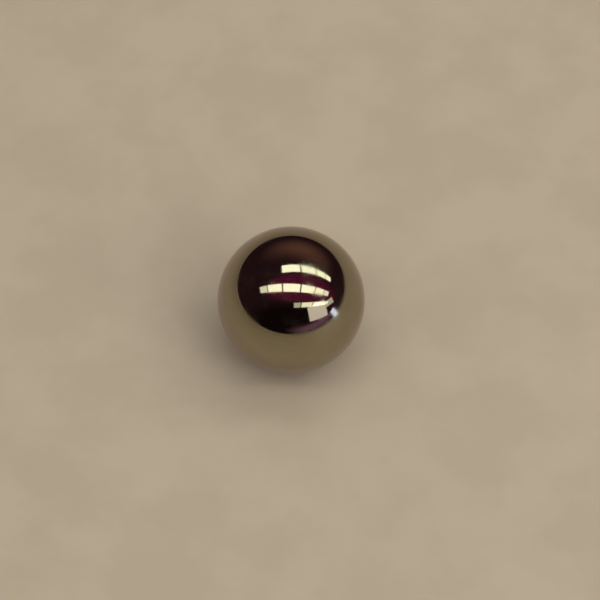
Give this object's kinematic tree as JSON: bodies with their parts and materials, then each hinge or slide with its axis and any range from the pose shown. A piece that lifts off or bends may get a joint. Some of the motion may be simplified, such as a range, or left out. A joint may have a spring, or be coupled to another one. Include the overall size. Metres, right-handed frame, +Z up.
{
  "type": "steel ball",
  "caption": "Solid steel ball, one true sphere lapped to a mirror polish, that rolls in a race, groove or cup or on a flat surface.",
  "frame": {"origin": "centre of the ball", "axes": "every direction is the same on a sphere; +Z is up, away from the surface that the ball lies on"},
  "size_m": [0.01, 0.01, 0.01],
  "materials": {
    "polished_steel": "polished"
  },
  "bodies": {
    "root": {"ball": "polished_steel"}
  },
  "joints": []
}
